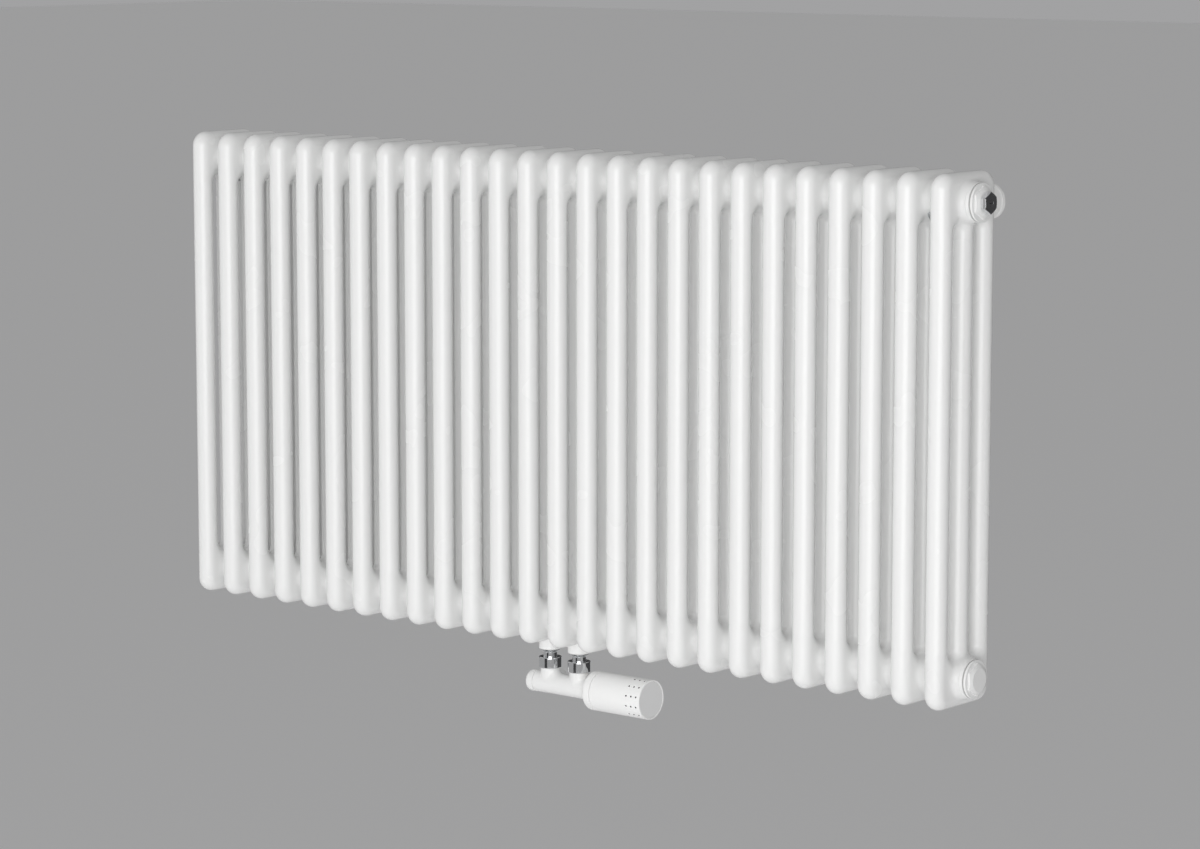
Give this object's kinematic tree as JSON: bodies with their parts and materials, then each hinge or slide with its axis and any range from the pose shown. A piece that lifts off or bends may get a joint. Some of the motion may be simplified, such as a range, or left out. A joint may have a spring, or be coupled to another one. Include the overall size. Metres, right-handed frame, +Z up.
{
  "type": "tubular radiator with thermostatic valve",
  "caption": "Wall-hung column radiator of tubular steel sections with hub plugs, air vent, wall brackets and a thermostatic valve set hung under its middle.",
  "frame": {"origin": "middle of the length, on the wall plane, level with the lower edge of the sections", "axes": "+X along the length towards the valve head and the air vent, +Y into the wall, +Z up"},
  "size_m": [1.2197, 0.142, 0.6787],
  "materials": {
    "white_paint": "gloss white powder coat",
    "white_plastic": "satin moulded plastic",
    "grey_plastic": "fine matt moulded face",
    "chrome": "polished plating",
    "brass": "turned, unplated",
    "spring_steel": "drawn wire",
    "zinc_steel": "bright zinc plating",
    "black_rubber": "smooth moulded rubber",
    "grey_seal": "pale silicone, matt"
  },
  "bodies": {
    "radiator": {"section_01": "white_paint", "section_02": "white_paint", "section_03": "white_paint", "section_04": "white_paint", "section_05": "white_paint", "section_06": "white_paint", "section_07": "white_paint", "section_08": "white_paint", "section_09": "white_paint", "section_10": "white_paint", "section_11": "white_paint", "section_12": "white_paint", "section_13": "white_paint", "section_14": "white_paint", "section_15": "white_paint", "section_16": "white_paint", "section_17": "white_paint", "section_18": "white_paint", "section_19": "white_paint", "section_20": "white_paint", "section_21": "white_paint", "section_22": "white_paint", "section_23": "white_paint", "section_24": "white_paint", "section_25": "white_paint", "section_26": "white_paint", "blind_plug_lower_right": "white_paint", "blind_plug_lower_left": "white_paint", "blind_plug_upper_left": "white_paint", "vent_reducer": "white_paint", "valve_body": "white_paint", "head_base": "white_plastic", "rosette_left": "white_plastic", "rosette_right": "white_plastic", "vent_housing": "chrome", "nipple_return": "chrome", "nipple_supply": "chrome", "union_nut_return": "chrome", "union_nut_supply": "chrome", "shutoff_bonnet": "brass", "insert_housing": "brass", "insert_spring": "spring_steel", "flow_divider": "zinc_steel", "hanger_left": "zinc_steel", "hanger_right": "zinc_steel", "spacer_left": "zinc_steel", "spacer_right": "zinc_steel", "plug_seal_lower_right": "grey_seal", "plug_seal_lower_left": "grey_seal", "plug_seal_upper_left": "grey_seal", "plug_seal_upper_right": "grey_seal"},
    "head": {"head_handle": "white_plastic", "head_end_cap": "grey_plastic"},
    "valve_stem": {"valve_pin": "zinc_steel", "valve_disc": "black_rubber", "sensor_capsule": "white_plastic"},
    "shutoff_spindle": {"shutoff_spindle": "brass"},
    "shutoff_closer": {"shutoff_closer": "brass"},
    "shutoff_cap": {"shutoff_cap": "white_paint"},
    "vent_screw": {"vent_screw": "chrome"}
  },
  "joints": [
    {"name": "thermostat_turn", "type": "hinge", "parent": "radiator", "child": "head", "pos_m": [0.1, -0.0895, -0.0546], "axis": [1, 0, 0], "range_deg": [-150, 150]},
    {"name": "stem_slide", "type": "slide", "parent": "radiator", "child": "valve_stem", "axis": [1, 0, 0], "range_m": [-0.0015, 0.0015], "deforming": ["insert_spring"]},
    {"name": "shutoff_turn", "type": "hinge", "parent": "radiator", "child": "shutoff_spindle", "pos_m": [-0.045, -0.0895, -0.0546], "axis": [1, 0, 0], "range_deg": [0, 1440]},
    {"name": "closer_slide", "type": "slide", "parent": "radiator", "child": "shutoff_closer", "axis": [1, 0, 0], "range_m": [0, 0.004]},
    {"name": "shutoff_cap_turn", "type": "hinge", "parent": "radiator", "child": "shutoff_cap", "pos_m": [-0.048, -0.0895, -0.0546], "axis": [1, 0, 0], "range_deg": [-1080, 0]},
    {"name": "vent_screw_turn", "type": "hinge", "parent": "radiator", "child": "vent_screw", "pos_m": [0.605, -0.0895, 0.567], "axis": [1, 0, 0], "range_deg": [0, 720]}
  ],
  "couplings": [
    {"joint": "stem_slide", "follows": "thermostat_turn", "m_per_rad": 0.00057},
    {"joint": "shutoff_turn", "follows": "closer_slide", "rad_per_m": 6283}
  ]
}
